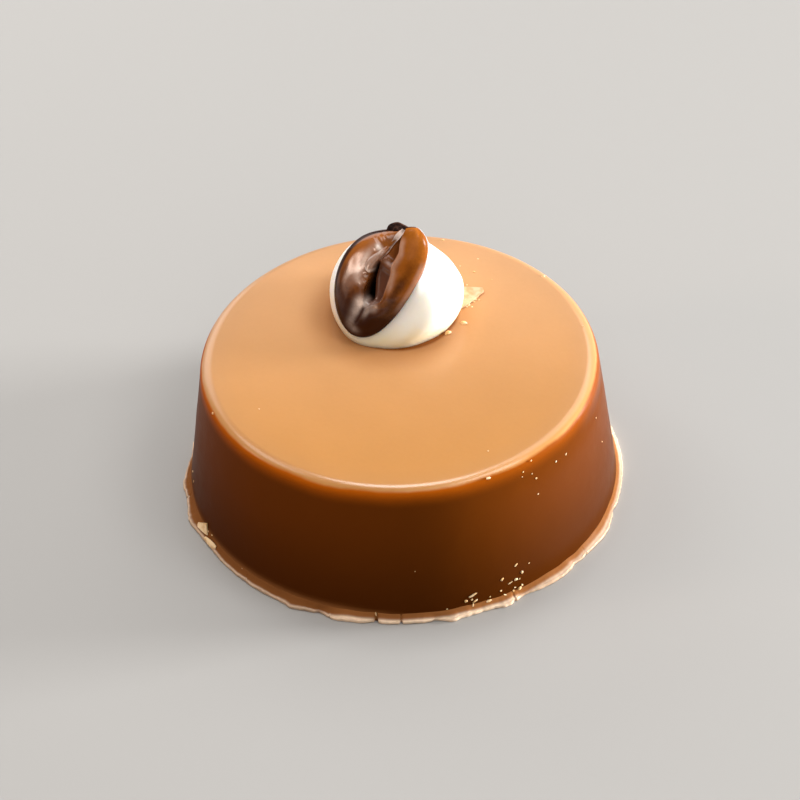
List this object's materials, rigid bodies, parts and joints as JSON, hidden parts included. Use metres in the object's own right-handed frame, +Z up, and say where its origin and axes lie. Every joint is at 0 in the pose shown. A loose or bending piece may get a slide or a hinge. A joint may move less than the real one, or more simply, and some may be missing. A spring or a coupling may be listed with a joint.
{
  "type": "chocolate praline",
  "caption": "Round tapered milk chocolate praline with a thin foot brim, topped with a white chocolate dot that holds a roasted coffee bean.",
  "frame": {"origin": "middle of the flat underside that the praline rests on", "axes": "+Z up out of the top; -Y is the front, where the bean's creased face looks; +X to the right seen from the front"},
  "size_m": [0.0342, 0.034, 0.0209],
  "materials": {
    "milk_chocolate": "tempered milk chocolate, smooth with a soft gloss",
    "white_chocolate": "white chocolate, smooth with a soft gloss",
    "roasted_coffee": "dark roasted coffee bean with an oily sheen"
  },
  "bodies": {
    "root": {"body": "milk_chocolate", "dot": "white_chocolate", "bean": "roasted_coffee"}
  },
  "joints": []
}
